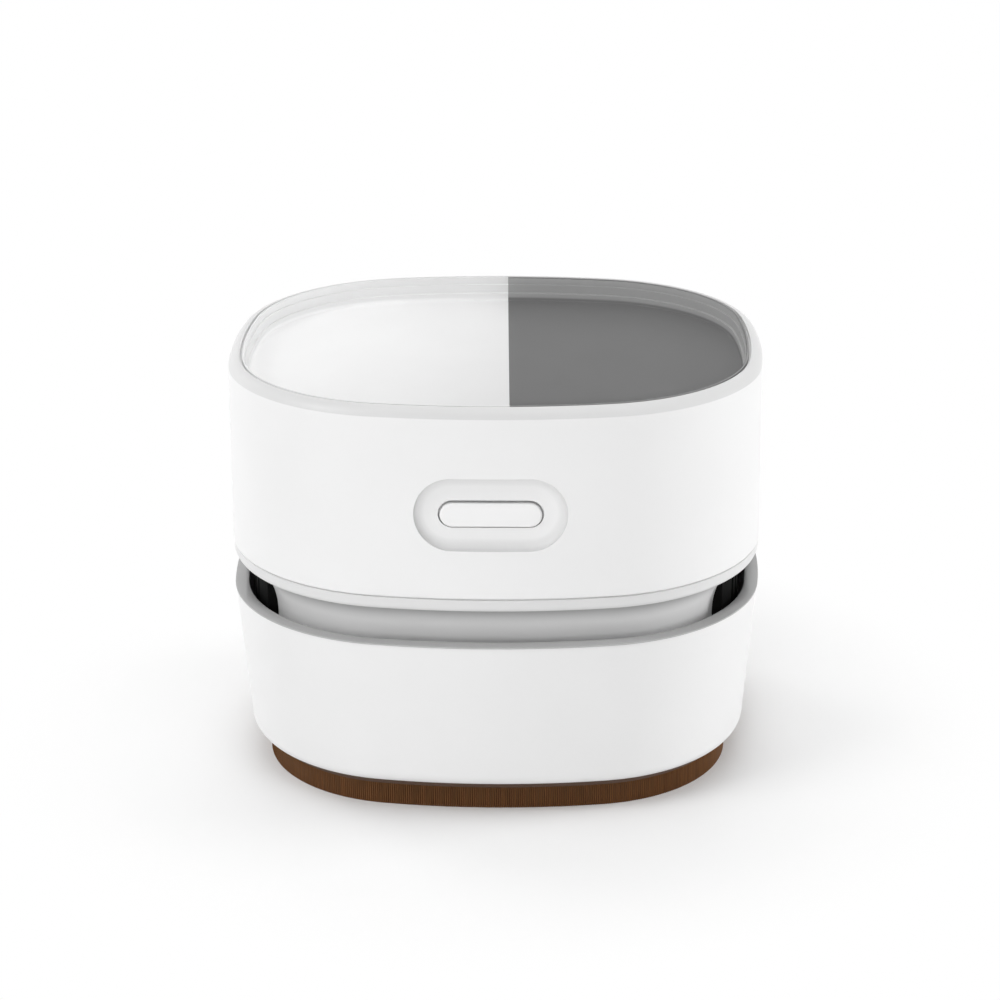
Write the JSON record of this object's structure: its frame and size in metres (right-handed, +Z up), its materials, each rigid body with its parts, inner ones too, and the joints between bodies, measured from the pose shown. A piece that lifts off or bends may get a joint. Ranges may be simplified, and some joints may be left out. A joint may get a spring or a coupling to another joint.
{
  "type": "desktop mini vacuum cleaner",
  "caption": "Oval desktop mini vacuum: a motor head with a pill-shaped power button and a clear-covered top tray lifts off an oval dust cup with a bristle ring under it.",
  "frame": {"origin": "centre of the footprint on the desk, under the four glide feet", "axes": "+Z up; the power button faces -Y; +X to the right when the button is seen from the front"},
  "size_m": [0.09, 0.08, 0.071],
  "materials": {
    "white_plastic": "satin white moulded plastic",
    "cup_plastic": "light grey moulded plastic",
    "grey_plastic": "mid grey moulded plastic",
    "black_plastic": "black moulded plastic",
    "brown_plastic": "dark brown moulded plastic",
    "brown_bristle": "dark brown nylon bristle",
    "foot_plastic": "slippery dark plastic",
    "filter_paper": "pleated filter paper",
    "seal_rubber": "soft black rubber",
    "impeller_plastic": "off-white moulded plastic",
    "steel": "bright steel",
    "brass": "tinned brass",
    "cell_wrap": "heat-shrunk sleeve",
    "board": "green circuit board",
    "tray_pale": "pale glossy plastic",
    "tray_dark": "grey glossy plastic",
    "clear_lens": "clear moulded plastic",
    "clear_rod": "clear moulded rod"
  },
  "bodies": {
    "dust_cup": {"skirt_shell": "white_plastic", "cup_liner": "cup_plastic", "intake_duct": "cup_plastic", "sole_plate": "brown_plastic", "brush_carrier": "brown_plastic", "bristle_ring": "brown_bristle", "glide_feet": "foot_plastic", "sole_screws": "steel"},
    "filter": {"filter_frame": "black_plastic", "filter_media": "filter_paper"},
    "main_body": {"upper_shell": "white_plastic", "belly_pan": "white_plastic", "top_lens": "clear_lens", "tray_light": "tray_pale", "tray_grey": "tray_dark", "waist_cover_front": "grey_plastic", "waist_cover_rear": "grey_plastic", "exhaust_grille_left": "black_plastic", "exhaust_grille_right": "black_plastic", "fan_housing": "black_plastic", "cup_seal": "seal_rubber", "motor_can": "steel", "motor_end_cap": "black_plastic", "motor_terminals": "brass", "motor_damper": "seal_rubber", "motor_mount": "black_plastic", "motor_screws": "steel", "battery_cell": "cell_wrap", "battery_saddles": "cup_plastic", "control_board": "board", "tact_switch": "black_plastic", "charge_board": "board", "usb_socket": "steel", "charge_light_pipe": "clear_rod", "fan_screws": "steel", "housing_screws": "steel"},
    "power_button": {"power_button": "white_plastic", "switch_plunger": "black_plastic"},
    "fan_rotor": {"impeller": "impeller_plastic", "motor_shaft": "steel"}
  },
  "joints": [
    {"name": "lift_off", "type": "slide", "parent": "dust_cup", "child": "main_body", "axis": [0, 0, 1], "range_m": [0, 0.05]},
    {"name": "filter_lift", "type": "slide", "parent": "dust_cup", "child": "filter", "axis": [0, 0, 1], "range_m": [0, 0.0255]},
    {"name": "button_press", "type": "slide", "parent": "main_body", "child": "power_button", "axis": [0, 1, 0], "range_m": [0, 0.0008], "stiffness_N_per_m": 1000},
    {"name": "fan_spin", "type": "hinge", "parent": "main_body", "child": "fan_rotor", "pos_m": [0, 0, 0.032], "axis": [0, 0, 1], "continuous": true}
  ],
  "couplings": [
    {"joint": "filter_lift", "follows": "lift_off", "ratio": 0.5}
  ]
}
